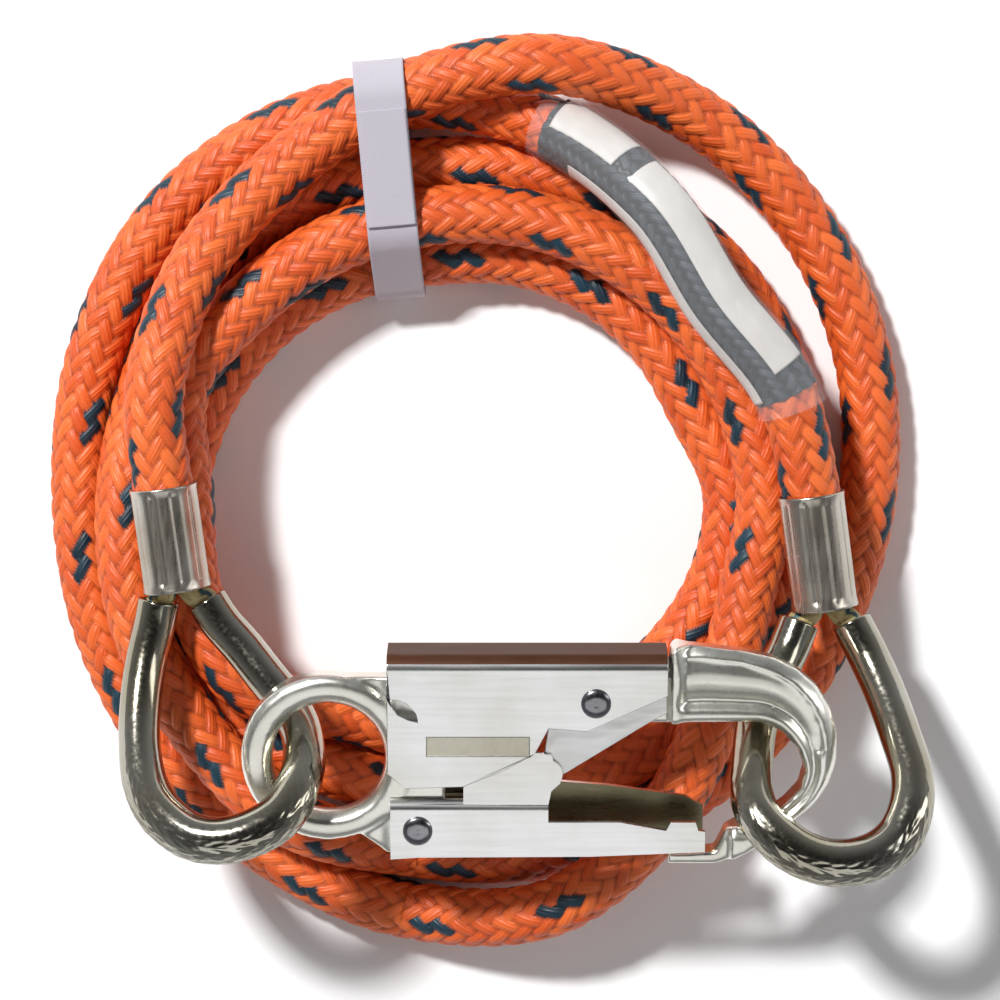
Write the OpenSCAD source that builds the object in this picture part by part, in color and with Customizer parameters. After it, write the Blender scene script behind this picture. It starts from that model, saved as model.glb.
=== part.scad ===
// Shock absorbing lanyard: a braided rope laid in four and a half turns, a tube thimble
// at each end and a double-acting snap hook threaded through both thimbles.
// +X runs along the hook, +Z is up and the coil lies on Z = 0.

/* [Rope] */
// Outside diameter of the rope
rope_d = 12.5; // [11:0.1:12.5]
// Diameter of the energy-absorbing core line
core_d = 5.6; // [4:0.1:6.4]
// Wall of the braided cover
cover_wall = 3; // [2:0.1:3.2]

/* [Terminations] */
// Outside diameter of the swaged ferrules
ferrule_d = 14.2; // [13.8:0.1:14.6]
// Bore of the swaged ferrules
ferrule_bore = 12.9; // [12.7:0.1:13.1]
// Outside diameter of the thimble tubes
thimble_d = 8.6; // [7.6:0.1:8.8]
// Inside diameter of the thimble tubes
thimble_bore = 6.8; // [6:0.1:7]
// Diameter of the core line's eye inside a thimble
loop_d = 4.6; // [3.6:0.1:4.8]

/* [Labels and band] */
// Width of the tie band
band_w = 10.5; // [8:0.5:14]
// Thickness of the tie band
band_t = 0.8; // [0.5:0.1:0.8]
// Thickness of the dark wrap under the labels
wrap_t = 0.5; // [0.3:0.1:0.6]
// Wall of the clear sleeve
sleeve_t = 0.3; // [0.3:0.1:0.5]

/* [Snap hook] */
// Height of the hook's middle plane where it crosses the thimbles
hook_z = 42; // [41:0.5:43]
// Distance of the hook's long axis from the middle of the coil
hook_y = -51.5; // [-52:0.5:-51]
// Lean of the hook at rest, spine up
hook_roll = 9; // [7:0.5:11]
// Radius of the eye
eye_r = 11.6; // [10:0.1:12]
// Thickness of the eye ring
ring_t = 6.8; // [5:0.1:7]
// Thickness of the forged bend and nose
forging_t = 8.6; // [7:0.1:9]
// Depth of the forging's recessed panel
panel_depth = 0.9; // [0.4:0.1:1.2]
// Thickness of the spine between the plates
spine_t = 6; // [5:0.1:6]
// Thickness of the stamped plates
plate_t = 1.2; // [0.8:0.1:1.4]
// Radius of the two hinge rivets
rivet_r = 1.9; // [1.6:0.1:2]

/* [Hidden] */
$fn = 48;

// Offset that puts the origin under the middle of the whole object.
centre = [2.2, -0.5, 0];
// Middle of the coil.
coil_centre = [-3, 1, 0];
// Angle between two stations of the route, and the angle of the first one.
station = 20;
first_station = 180;
// The rope's centreline: [radius, height] at each station, clockwise from the left ferrule.
ROUTE = [
    [65.5, 32.5], [71, 32.5], [76, 25.5], [80, 19.5], [86, 21.6], [91.5, 23], [92, 11], [90, 6.4], [87, 6.4],
    [83.5, 6.4], [81, 6.4], [80, 6.4], [79.5, 6.4], [79.5, 6.4], [79, 6.4], [80, 18], [78, 18], [77, 18],
    [75, 15.2], [74, 9], [75, 6.4], [73, 7.8], [70, 7.8], [69, 6.4], [70, 6.4], [70, 6.4], [69.5, 6.4],
    [69, 6.4], [68, 6.4], [67, 6.4], [66.5, 6.4], [66.5, 6.4], [66.3, 6.4], [68.5, 6.4], [72, 6.4], [71.5, 6.4],
    [64.5, 6.4], [61, 6.4], [57.5, 6.4], [54, 7.8], [51, 7.8], [50.5, 6.4], [50, 6.4], [49.5, 6.4], [49.5, 6.4],
    [54, 6.4], [54.5, 6.4], [54, 6.4], [53.5, 6.4], [53.5, 6.4], [53.5, 6.4], [55.5, 9], [63.5, 18.3], [64, 18.4],
    [62, 18.7], [66.5, 20.3], [63, 18.2], [61, 18.3], [59.5, 17.5], [59, 16.3], [58.5, 16.3], [58.5, 16.3],
    [59, 16.5], [60.5, 17.6], [60.5, 18], [66.5, 20], [78.5, 21], [90, 17], [92.5, 6.4], [90, 6.4], [88, 6.4],
    [86.5, 6.4], [85.5, 6.4], [87, 6.4], [88.5, 6.4], [87.5, 7.8], [84.5, 7.8], [79.3, 15.2], [71.5, 28.5],
    [64.3, 30.3], [67.5, 29.5], [69, 27.5]];
// The first and last rows lie under the ferrules. There the rope follows the ferrule's axis,
// from just outside the mouth to this share of the ferrule's length.
rope_run_in = 0.42;
mouth_gap = 0.5;
// How far the core line's eye reaches back into a ferrule.
loop_run_in = 8;

// Axes of the two ferrules, from the rope's side to the thimble's side.
FERRULE_LEFT = [[-68.3, 4, 32.5], [-65.5, -17.5, 32]];
FERRULE_RIGHT = [[66.3, 2, 27.5], [69.5, -22, 27]];
// Centrelines of the two thimbles, from one leg's end to the other.
THIMBLE_LEFT = [[-69.5, -20, 31], [-70.5, -25.5, 31], [-72, -32, 32], [-73, -40, 34.5], [-73, -48.5, 38.5],
    [-71.5, -56, 43], [-68, -61.5, 47.5], [-62, -65.5, 51], [-55.5, -66.5, 52.5], [-49, -65, 52.5],
    [-43.6, -62, 51], [-40.3, -57.5, 47.5], [-38.8, -52, 42], [-39.8, -46, 37.5], [-43, -40.5, 35.4],
    [-47.5, -35, 34], [-52, -29.5, 32.5], [-56.5, -24.5, 31.5], [-59.5, -20, 31]];
THIMBLE_RIGHT = [[64, -25, 27.5], [61.5, -31, 29], [58.5, -36, 31.5], [56, -41, 34.2], [54.5, -46.5, 36],
    [53.5, -52, 41], [53, -57, 45.5], [54, -61.5, 49.5], [58, -66, 52], [63.5, -69.5, 53], [70, -71, 53],
    [77, -70, 52], [82.5, -66.5, 50], [85.5, -60.5, 47.5], [86, -54, 43.5], [84, -46.5, 38.5],
    [81.5, -39, 33.5], [78.5, -32, 29.5], [75, -25, 27.5]];

// Clearance between the band and the strands, and the radii and height that bound its overlap.
band_gap = 0.7;
overlap_from = 58;
overlap_length = 24;
overlap_above = 17;

// Where things lie along the coil, in stations from the left ferrule.
last_turn = 72;
band_at = last_turn + 3.65;
// Length of the rope from one station to the next, near the band.
station_run = 26;
sleeve_reach = [last_turn + 5, last_turn + 8.2];
wrap_reach = [last_turn + 5.1, last_turn + 8.05];
short_label = [last_turn + 5.15, last_turn + 5.7];
long_label = [last_turn + 5.85, last_turn + 7.8];
strip_label = [last_turn + 5.4, last_turn + 8];

rope_r = rope_d / 2;
wrap_r = rope_r + 0.1 + wrap_t;
label_t = 0.18;
label_lift = 0.1;
sleeve_r = wrap_r + 0.45;

// Hinge axes and levels across the hook's thickness.
GATE_PIVOT = [-15.4, -13.8];
LEVER_PIVOT = [21, 14];
EYE = [-33.7, 0.8];
gate_half = 5.2;
lever_half = 6.8;
lever_back = 23.7;
gate_back = -7;
hinge_clearance = 0.05;
eye_bevel = 1.5;
bush_t = 0.65;
spring_wire_r = 0.4;
spine_slot = max(spine_t, ring_t) + 0.5;

// --- sweeps ---------------------------------------------------------------------------

function unit(v) = v / norm(v);
function tangent(p, i) = unit(p[min(i + 1, len(p) - 1)] - p[max(i - 1, 0)]);
function side(t) = unit(cross(t, [0, 0, 1]));
// One cross-section of a sweep: outline points are [sideways, up].
function section(p, i, outline) =
    let (t = tangent(p, i), s = side(t), u = cross(s, t))
    [for (q = outline) p[i] + q[0] * s + q[1] * u];
function circle_outline(r, n) = [for (k = [0:n - 1]) r * [sin(360 * k / n), -cos(360 * k / n)]];
function flat(rows) = [for (row = rows) each row];

// Two triangles for each side of each stretch between m rings of n points, from point first.
function walls(m, n, first = 0) = flat([for (i = [0:m - 2], k = [0:n - 1])
    let (a = first + i * n + k, b = first + i * n + (k + 1) % n)
    [[a, b, b + n], [a, b + n, a + n]]]);
function reversed(faces) = [for (f = faces) [for (j = [len(f) - 1:-1:0]) f[j]]];

// Sections all along path p.
function sections(p, outline) = [for (i = [0:len(p) - 1]) section(p, i, outline)];

// A solid through the sections in rings. The faces in cap close it over one section.
module skin(rings, cap) {
    n = len(rings[0]);
    m = len(rings);
    far_end = [for (f = cap) [for (k = f) (m - 1) * n + k]];
    polyhedron(flat(rings), concat(walls(m, n), reversed(cap), far_end), 4);
}
function disc_cap(n) = [[for (k = [0:n - 1]) k]];
// Triangles between the two arcs of an arc_shell outline of n steps.
function shell_cap(n) = flat([for (k = [0:n - 1]) let (j = 2 * n + 1 - k) [[k, k + 1, j - 1], [k, j - 1, j]]]);

// A pipe through two sets of round sections, one inside the other.
module pipe(outer, inner) {
    n = len(outer[0]);
    m = len(outer);
    bore = m * n;
    last = (m - 1) * n;
    near_end = flat([for (k = [0:n - 1]) let (j = (k + 1) % n)
        [[j, k, bore + k], [j, bore + k, bore + j]]]);
    far_end = flat([for (k = [0:n - 1]) let (a = last + k, b = last + (k + 1) % n)
        [[a, b, bore + b], [a, bore + b, bore + a]]]);
    polyhedron(flat(concat(outer, inner)),
        concat(walls(m, n), reversed(walls(m, n, bore)), near_end, far_end), 4);
}

// A tube between radii r_in and r_out along path p, with n sides.
module swept_tube(p, r_out, r_in, n) {
    pipe(sections(p, circle_outline(r_out, n)), sections(p, circle_outline(r_in, n)));
}

// The outline of a shell over part of a tube, from angle a0 to a1 round it (0 is up).
function arc_shell(r_in, r_out, a0, a1, n) = concat(
    [for (k = [0:n]) let (a = a0 + (a1 - a0) * k / n) r_out * [sin(a), cos(a)]],
    [for (k = [n:-1:0]) let (a = a0 + (a1 - a0) * k / n) r_in * [sin(a), cos(a)]]);

// --- rope -----------------------------------------------------------------------------

// The centreline's point at a whole station.
function at_station(k) =
    let (a = first_station - station * k)
    coil_centre + [ROUTE[k][0] * cos(a), ROUTE[k][0] * sin(a), ROUTE[k][1]];
// The centreline's point at any station, along the straight runs between stations.
function on_route(s) =
    let (k = max(0, min(len(ROUTE) - 2, floor(s))))
    at_station(k) + (s - k) * (at_station(k + 1) - at_station(k));
// A point on a ferrule's axis, at a share of its length past the mouth, and one just outside it.
function inside(f) = f[0] + rope_run_in * (f[1] - f[0]);
function outside(f) = f[0] - mouth_gap * unit(f[1] - f[0]);
function rope_line() = concat([inside(FERRULE_LEFT), outside(FERRULE_LEFT)],
    [for (k = [1:len(ROUTE) - 2]) at_station(k)], [outside(FERRULE_RIGHT), inside(FERRULE_RIGHT)]);

// Everything is placed with the origin under the middle of the object.
module placed() {
    translate(centre)
        children();
}

module rope_cover() {
    color("orangered")
        placed()
            swept_tube(rope_line(), rope_r, rope_r - cover_wall, 12);
}

module rope_core() {
    color("gold")
        placed()
            skin(sections(rope_line(), circle_outline(core_d / 2, 8)), disc_cap(8));
}

// --- terminations ---------------------------------------------------------------------

// Children that stand on Z = 0 are laid along the line from a to b.
module along(a, b) {
    v = b - a;
    translate(a)
        rotate([0, acos(v[2] / norm(v)), atan2(v[1], v[0])])
            children();
}

module ferrule(axis_line) {
    length = norm(axis_line[1] - axis_line[0]);
    flutes = 10;
    color("dimgray")
        placed()
            along(axis_line[0], axis_line[1])
                difference() {
                    cylinder(h = length, r = ferrule_d / 2);
                    translate([0, 0, -1])
                        cylinder(h = length + 2, r = ferrule_bore / 2);
                    for (k = [0:flutes - 1])
                        rotate([0, 0, 360 * k / flutes])
                            translate([ferrule_d / 2 + 0.75, 0, 2])
                                cylinder(h = length - 4, r = 1.1, $fn = 24);
                }
}

module ferrule_left() {
    ferrule(FERRULE_LEFT);
}

module ferrule_right() {
    ferrule(FERRULE_RIGHT);
}

module thimble_left() {
    color("slategray")
        placed()
            swept_tube(THIMBLE_LEFT, thimble_d / 2, thimble_bore / 2, 12);
}

module thimble_right() {
    color("slategray")
        placed()
            swept_tube(THIMBLE_RIGHT, thimble_d / 2, thimble_bore / 2, 12);
}

// The core line's eye: out of the ferrule, round through the thimble and back in.
module core_loop(axis_line, thimble) {
    mouth = axis_line[1];
    back = unit(axis_line[0] - axis_line[1]);
    last = thimble[len(thimble) - 1];
    near_side = unit(thimble[0] - last);
    spread = 0.55 * loop_d;
    first_run = mouth + loop_run_in * back + spread * near_side;
    last_run = mouth + loop_run_in * back - spread * near_side;
    first_mouth = mouth + spread * near_side;
    last_mouth = mouth - spread * near_side;
    color("khaki")
        placed()
            skin(sections(concat([first_run, first_mouth], thimble, [last_mouth, last_run]),
                circle_outline(loop_d / 2, 8)), disc_cap(8));
}

module core_loop_left() {
    core_loop(FERRULE_LEFT, THIMBLE_LEFT);
}

module core_loop_right() {
    core_loop(FERRULE_RIGHT, THIMBLE_RIGHT);
}

// --- band and labels ------------------------------------------------------------------

// The band's plane leans away from the coil's radius. This is its distance from the coil's middle.
band_offset = 12.9;
band_direction = 95;
// A strand's place round the coil, in stations, where it meets that plane at a radius.
function meets_band(radius) = (first_station - band_direction - asin(band_offset / radius)) / station;
// The strands that the band goes round, at its middle and both edges, as [distance, height].
function band_strands() = [for (turn = [0:4], edge = [-1, 0, 1])
    let (near = ROUTE[round(band_at) - 18 * turn][0],
        p = on_route(last_turn - 18 * turn + meets_band(near) + edge * band_w / 2 / station_run) - coil_centre,
        radius = norm([p[0], p[1]]))
    [sqrt(radius * radius - band_offset * band_offset), p[2]]];

module band_outline(r) {
    hull()
        for (q = band_strands())
            translate(q)
                circle(r = r, $fn = 32);
}

// Lays an outline in [distance, height] across the coil in the band's plane.
module band_plane(w) {
    placed()
        translate(coil_centre)
            rotate([0, 0, band_direction])
                rotate([90, 0, 0])
                    translate([0, 0, -band_offset - w / 2])
                        linear_extrude(w)
                            children();
}

module coil_band() {
    color("white")
        band_plane(band_w)
            difference() {
                band_outline(rope_r + band_gap + band_t);
                band_outline(rope_r + band_gap);
            }
}

module band_closure() {
    color("whitesmoke")
        band_plane(band_w - 0.6)
            intersection() {
                difference() {
                    band_outline(rope_r + band_gap + 0.1 + 2 * band_t);
                    band_outline(rope_r + band_gap + 0.1 + band_t);
                }
                // The overlap lies on top of the coil.
                translate([overlap_from, overlap_above])
                    square([overlap_length, 20]);
            }
}

// The rope's own section at any station between two of its sections, with another outline, so that
// everything on the rope nests.
function on_rope(s, outline) =
    let (line = rope_line(), k = floor(s), share = s - k)
    (1 - share) * section(line, k + 1, outline) + share * section(line, k + 2, outline);
// Sections from one station to another, whole stations included.
function over_rope(reach, outline) = [for (s = concat([reach[0]],
    [for (k = [floor(reach[0]) + 1:ceil(reach[1]) - 1]) k], [reach[1]])) on_rope(s, outline)];

// A label's shell over part of the wrap, between two angles.
module label_shell(reach, a0, a1) {
    steps = 10;
    r_in = wrap_r + label_lift;
    placed()
        skin(over_rope(reach, arc_shell(r_in, r_in + label_t, a0, a1, steps)), shell_cap(steps));
}

// A pipe over part of the rope.
module rope_pipe(reach, r_out, r_in) {
    sides = 24;
    placed()
        pipe(over_rope(reach, circle_outline(r_out, sides)), over_rope(reach, circle_outline(r_in, sides)));
}

module label_wrap() {
    color("darkslategray")
        rope_pipe(wrap_reach, wrap_r, wrap_r - wrap_t);
}

module label_short() {
    color("white")
        label_shell(short_label, -70, 4);
}

module label_long() {
    color("white")
        label_shell(long_label, -66, 4);
}

module label_strip() {
    color("white")
        label_shell(strip_label, 52, 84);
}

module clear_sleeve() {
    color("lightcyan", 0.4)
        rope_pipe(sleeve_reach, sleeve_r + sleeve_t, sleeve_r);
}

// --- snap hook ------------------------------------------------------------------------

// The hook's own frame: X along it, Y towards its spine, Z through its thickness.
module hook_place() {
    placed()
        translate([0, hook_y, hook_z])
            rotate([hook_roll, 0, 0])
                children();
}

// An outline thickened equally to both sides of the hook's middle plane.
module slab(t) {
    translate([0, 0, -t / 2])
        linear_extrude(t)
            children();
}

module spine_outline() {
    polygon([[-38, 17], [-28.5, 18.2], [-22, 18.2], [4, 20.4], [37, 20.6], [37, 8.6], [-2, 8.6], [-7, 5], [-9.5, 0],
        [-10, -13.8], [-15.4, -19.4], [-22, -19.4], [-28, -15], [-24, -4], [-22, 2], [-26, 10]]);
    translate(GATE_PIVOT)
        circle(r = 5.6);
}

module forging_outline() {
    polygon([[36.2, 8.6], [36.2, 23.6], [37.4, 25], [43, 24.6], [51, 23.6], [57, 22.2], [62, 19.8], [66, 16.2],
            [69, 11.5], [70.5, 6], [70.5, 0], [69, -5], [66, -9.5], [61.5, -13.5], [56, -17], [50, -20.5],
            [46, -21.8], [36, -21.8], [36, -19.6], [45.8, -19.2], [48, -14.2], [52, -13], [56, -11.5],
            [60, -9], [63, -5.5], [64, -1.5], [62.5, 3], [59, 7], [55, 8.8], [50, 8.8]]);
}

// The recess between the forging's rims.
module forging_panel_outline() {
    polygon([[38.6, 12], [38.6, 22.6], [43, 22.4], [51, 21.4], [57, 19.6], [61.5, 16.8], [65, 12.8], [67.2, 8],
        [67.9, 3.5], [66.5, 1.5], [65, 5], [61.5, 9.4], [57, 11.4], [50, 12]]);
}

module hook_body() {
    color("silver")
        hook_place()
            difference() {
                union() {
                    slab(ring_t)
                        translate([-34, 1])
                            circle(r = 17.6, $fn = 72);
                    slab(spine_t)
                        spine_outline();
                    slab(forging_t)
                        forging_outline();
                }
                translate([EYE[0], EYE[1], -10])
                    cylinder(h = 20, r = eye_r, $fn = 72);
                // Both rims of the eye are bevelled.
                for (s = [0, 1])
                    mirror([0, 0, s])
                        translate([EYE[0], EYE[1], ring_t / 2 - eye_bevel])
                            cylinder(h = eye_bevel + 0.5, r1 = eye_r, r2 = eye_r + 1.2 * (eye_bevel + 0.5), $fn = 72);
                for (p = [GATE_PIVOT, LEVER_PIVOT])
                    translate([p[0], p[1], -10])
                        cylinder(h = 20, r = rivet_r + hinge_clearance + bush_t);
                translate([GATE_PIVOT[0], GATE_PIVOT[1], 1.3])
                    cylinder(h = 5, r = 4.4);
                translate([LEVER_PIVOT[0], LEVER_PIVOT[1], -6.3])
                    cylinder(h = 5, r = 4.4);
                for (z = [forging_t / 2 - panel_depth, -forging_t / 2 - 1])
                    translate([0, 0, z])
                        linear_extrude(panel_depth + 1)
                            forging_panel_outline();
                // The nose is thinner where the gate's plates go past it.
                for (z = [3, -13])
                    translate([30, -25, z])
                        cube([19, 12, 10]);
            }
}

// A U section open towards -X of the outline, with a rounded back at x = back.
module channel_outline(back, half, r) {
    translate([-40, -half])
        square([back - r + 40, 2 * half]);
    translate([-40, r - half])
        square([back + 40, 2 * (half - r)]);
    for (s = [-1, 1])
        translate([back - r, s * (half - r)])
            circle(r = r);
}

// A folded channel along the hook, with its back towards the spine.
module folded_channel(back, half, r, x0, x1) {
    translate([x0, 0, 0])
        rotate([90, 0, 90])
            linear_extrude(x1 - x0)
                difference() {
                    channel_outline(back, half, r);
                    channel_outline(back - plate_t, half - plate_t, r - plate_t);
                }
}

module hinge_hole(p) {
    translate([p[0], p[1], -12])
        cylinder(h = 24, r = rivet_r + hinge_clearance);
}

module lever_outline() {
    difference() {
        polygon([[-21.5, 9.4], [-21.5, 30], [35.6, 30], [35.6, 15.6], [19.2, 8], [11.4, 8.6], [8.6, 3.2],
            [3, 0], [-0.6, -1.6], [-6, -3.8], [-18, -4.2], [-21.5, -1]]);
        // A leaf-shaped window over the spine.
        polygon([[-21.3, 14.9], [-19, 14.6], [-16.9, 13.5], [-15.6, 11.9], [-15.1, 10.1], [-17.2, 10.6],
            [-19.2, 11.6], [-20.5, 13.2]]);
    }
}

module lever() {
    color("gainsboro")
        hook_place()
            difference() {
                intersection() {
                    folded_channel(lever_back, lever_half, 3, -22, 36);
                    slab(20)
                        lever_outline();
                }
                hinge_hole(LEVER_PIVOT);
                // Pressed grip panel in the front plate.
                translate([-13.5, 2.8, lever_half - 0.4])
                    cube([21, 4, 2]);
            }
}

module lock_arm() {
    color("gray")
        hook_place()
            difference() {
                translate([0, 0, 3.1])
                    linear_extrude(0.8)
                        polygon([[17, 12], [20, 18.5], [35.5, 18.5], [35.6, 11], [31.3, 8.6], [14.6, -2],
                            [13, -2.5], [11.3, -2], [10.1, -0.8], [9.7, 0.8], [10.6, 2.8]]);
                hinge_hole(LEVER_PIVOT);
            }
}

module gate_front_outline() {
    polygon([[-21, -20], [-21, 0], [11.4, 0], [11.4, -9.8], [24, -11.6], [35.6, -13.8], [36.5, -12], [38, -10.9],
        [40.2, -10.9], [41.6, -12], [42.2, -13.8], [43.6, -14], [43.6, -18.4], [20, -19.4], [-4, -19.6],
        [-15.4, -19.6]]);
}

// The back plate stands higher than the front one past the end of the fold.
module gate_rear_outline() {
    polygon([[8, -8.4], [11.6, -6], [24, -7], [40, -9.4], [43.6, -11.4], [43.6, -18.4], [20, -19.4], [-4, -19.6],
        [-4, -12]]);
}

module gate_ear_outline() {
    polygon([[-6, -9.4], [-6, -4.6], [0, 0.4], [8, 3], [12, 2.4], [13.9, -3.6], [12, -5.4], [11.2, -9.4]]);
    translate([11.3, -1.7])
        circle(r = 3);
}

module gate() {
    inner = gate_half - plate_t;
    ear_t = 0.8;
    color("silver")
        hook_place()
            difference() {
                union() {
                    intersection() {
                        folded_channel(gate_back, gate_half, 2.6, -21, 11.4);
                        slab(20)
                            gate_front_outline();
                    }
                    translate([0, 0, inner])
                        linear_extrude(plate_t)
                            intersection() {
                                gate_front_outline();
                                translate([-12, -20])
                                    square([60, 8]);
                            }
                    translate([0, 0, -gate_half])
                        linear_extrude(plate_t)
                            gate_rear_outline();
                    // The ear that the arm closes over.
                    translate([0, 0, inner])
                        linear_extrude(ear_t)
                            gate_ear_outline();
                }
                hinge_hole(GATE_PIVOT);
                // The fold is open where the spine comes through.
                translate([-22, -13, -spine_slot / 2])
                    cube([16, 7, spine_slot]);
            }
}

module rivet(p, half) {
    head_h = 1;
    color("lightgray")
        hook_place()
            translate([p[0], p[1], 0])
                union() {
                    cylinder(h = 2 * half + 0.2, r = rivet_r, center = true);
                    for (s = [0, 1])
                        mirror([0, 0, s])
                            translate([0, 0, half + 0.05])
                                cylinder(h = head_h, r = 3.1);
                }
}

module lever_rivet() {
    rivet(LEVER_PIVOT, lever_half);
}

module gate_rivet() {
    rivet(GATE_PIVOT, gate_half);
}

module bush(p, z0, z1) {
    color("goldenrod")
        hook_place()
            translate([p[0], p[1], z0])
                difference() {
                    cylinder(h = z1 - z0, r = rivet_r + hinge_clearance + bush_t - 0.01);
                    translate([0, 0, -1])
                        cylinder(h = z1 - z0 + 2, r = rivet_r + 0.01);
                }
}

module lever_bush() {
    bush(LEVER_PIVOT, -1.3, 3);
}

module gate_bush() {
    bush(GATE_PIVOT, -3, 1.3);
}

// A torsion spring round a hinge, as separate close turns from height z.
module torsion_spring(p, z, turns) {
    coil_r = 3;
    pitch = 1.8 * spring_wire_r;
    color("steelblue")
        hook_place()
            translate([p[0], p[1], z])
                for (k = [0:turns - 1])
                    translate([0, 0, k * pitch])
                        rotate_extrude()
                            translate([coil_r, 0])
                                circle(r = spring_wire_r, $fn = 16);
}

module lever_spring() {
    torsion_spring(LEVER_PIVOT, -3.4, 3);
}

module gate_spring() {
    torsion_spring(GATE_PIVOT, 1.75, 2);
}

rope_cover();
rope_core();
ferrule_left();
ferrule_right();
thimble_left();
thimble_right();
core_loop_left();
core_loop_right();
coil_band();
band_closure();
label_wrap();
label_short();
label_long();
label_strip();
clear_sleeve();
hook_body();
lever();
lock_arm();
lever_rivet();
lever_bush();
lever_spring();
gate();
gate_rivet();
gate_bush();
gate_spring();
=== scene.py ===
"""Shock absorbing lanyard: the looks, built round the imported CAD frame."""
import math
from math import pi, radians, sin, cos

import bmesh
import bpy
import numpy as np
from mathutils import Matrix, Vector


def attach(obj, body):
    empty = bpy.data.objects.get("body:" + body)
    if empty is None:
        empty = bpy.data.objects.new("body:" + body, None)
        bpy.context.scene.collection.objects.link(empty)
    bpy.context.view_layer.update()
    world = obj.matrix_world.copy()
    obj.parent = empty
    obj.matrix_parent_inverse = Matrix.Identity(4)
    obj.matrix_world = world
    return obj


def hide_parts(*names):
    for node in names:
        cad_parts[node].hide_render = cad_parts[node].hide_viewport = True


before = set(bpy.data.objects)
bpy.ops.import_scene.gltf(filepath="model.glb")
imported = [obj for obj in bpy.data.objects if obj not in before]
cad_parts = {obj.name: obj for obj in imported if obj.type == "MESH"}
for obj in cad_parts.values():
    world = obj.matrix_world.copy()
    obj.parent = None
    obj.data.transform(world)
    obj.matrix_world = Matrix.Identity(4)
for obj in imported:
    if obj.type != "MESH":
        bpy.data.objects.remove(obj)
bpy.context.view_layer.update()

MM = 0.001

# --- sizes and places, in millimetres and degrees -----------------------------------------
# The route, ferrules and thimbles repeat the CAD source's points, and CENTRE sets them in the frame.
CENTRE = np.array([2.2, -0.5, 0.0])
COIL_CENTRE = np.array([-3.0, 1.0, 0.0])
STATION = 20.0
FIRST_STATION = 180.0
LAST_TURN = 72
# Each station's radius and height, STATION degrees apart from FIRST_STATION on.
ROUTE = [
    [65.5, 32.5], [71, 32.5], [76, 25.5], [80, 19.5], [86, 21.6], [91.5, 23], [92, 11], [90, 6.4],
    [87, 6.4], [83.5, 6.4], [81, 6.4], [80, 6.4], [79.5, 6.4], [79.5, 6.4], [79, 6.4], [80, 18], [78, 18],
    [77, 18], [75, 15.2], [74, 9], [75, 6.4], [73, 7.8], [70, 7.8], [69, 6.4], [70, 6.4], [70, 6.4],
    [69.5, 6.4], [69, 6.4], [68, 6.4], [67, 6.4], [66.5, 6.4], [66.5, 6.4], [66.3, 6.4], [68.5, 6.4],
    [72, 6.4], [71.5, 6.4], [64.5, 6.4], [61, 6.4], [57.5, 6.4], [54, 7.8], [51, 7.8], [50.5, 6.4],
    [50, 6.4], [49.5, 6.4], [49.5, 6.4], [54, 6.4], [54.5, 6.4], [54, 6.4], [53.5, 6.4], [53.5, 6.4],
    [53.5, 6.4], [55.5, 9], [63.5, 18.3], [64, 18.4], [62, 18.7], [66.5, 20.3], [63, 18.2], [61, 18.3],
    [59.5, 17.5], [59, 16.3], [58.5, 16.3], [58.5, 16.3], [59, 16.5], [60.5, 17.6], [60.5, 18],
    [66.5, 20], [78.5, 21], [90, 17], [92.5, 6.4], [90, 6.4], [88, 6.4], [86.5, 6.4], [85.5, 6.4],
    [87, 6.4], [88.5, 6.4], [87.5, 7.8], [84.5, 7.8], [79.3, 15.2], [71.5, 28.5], [64.3, 30.3],
    [67.5, 29.5], [69, 27.5]]
FERRULE_LEFT = [[-68.3, 4, 32.5], [-65.5, -17.5, 32]]
FERRULE_RIGHT = [[66.3, 2, 27.5], [69.5, -22, 27]]
THIMBLE_LEFT = [[-69.5, -20, 31], [-70.5, -25.5, 31], [-72, -32, 32], [-73, -40, 34.5], [-73, -48.5, 38.5],
    [-71.5, -56, 43], [-68, -61.5, 47.5], [-62, -65.5, 51], [-55.5, -66.5, 52.5], [-49, -65, 52.5],
    [-43.6, -62, 51], [-40.3, -57.5, 47.5], [-38.8, -52, 42], [-39.8, -46, 37.5], [-43, -40.5, 35.4],
    [-47.5, -35, 34], [-52, -29.5, 32.5], [-56.5, -24.5, 31.5], [-59.5, -20, 31]]
THIMBLE_RIGHT = [[64, -25, 27.5], [61.5, -31, 29], [58.5, -36, 31.5], [56, -41, 34.2], [54.5, -46.5, 36],
    [53.5, -52, 41], [53, -57, 45.5], [54, -61.5, 49.5], [58, -66, 52], [63.5, -69.5, 53], [70, -71, 53],
    [77, -70, 52], [82.5, -66.5, 50], [85.5, -60.5, 47.5], [86, -54, 43.5], [84, -46.5, 38.5],
    [81.5, -39, 33.5], [78.5, -32, 29.5], [75, -25, 27.5]]
ROPE_D = 12.7
# How far the rope runs into a ferrule, as a share of it, and the straight start before its mouth.
RUN_IN = 0.42
MOUTH_GAP = 0.5
# The lowest that the rope's centreline goes.
LOWEST = 6.42
FERRULE_R, FERRULE_BORE = 6.98, 6.45
THIMBLE_R, THIMBLE_BORE = 4.3, 3.4

# The band lies in an upright plane, BAND_OFFSET to the side of the coil's centre. Its radii are
# measured from each strand's own centre, and STATION_RUN is about one station along the rope.
PER_TURN = 18
STRANDS = 5
BAND_AT = LAST_TURN + 3.65
BAND_OFFSET, BAND_DIRECTION, STATION_RUN = 12.9, 95.0, 26.0
BAND_HALF, BAND_R_IN, BAND_R_OUT = 5.25, 6.95, 7.55
OVERLAP_HALF, OVERLAP_R_IN, OVERLAP_R_OUT = 5.0, 7.7, 8.2

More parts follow.
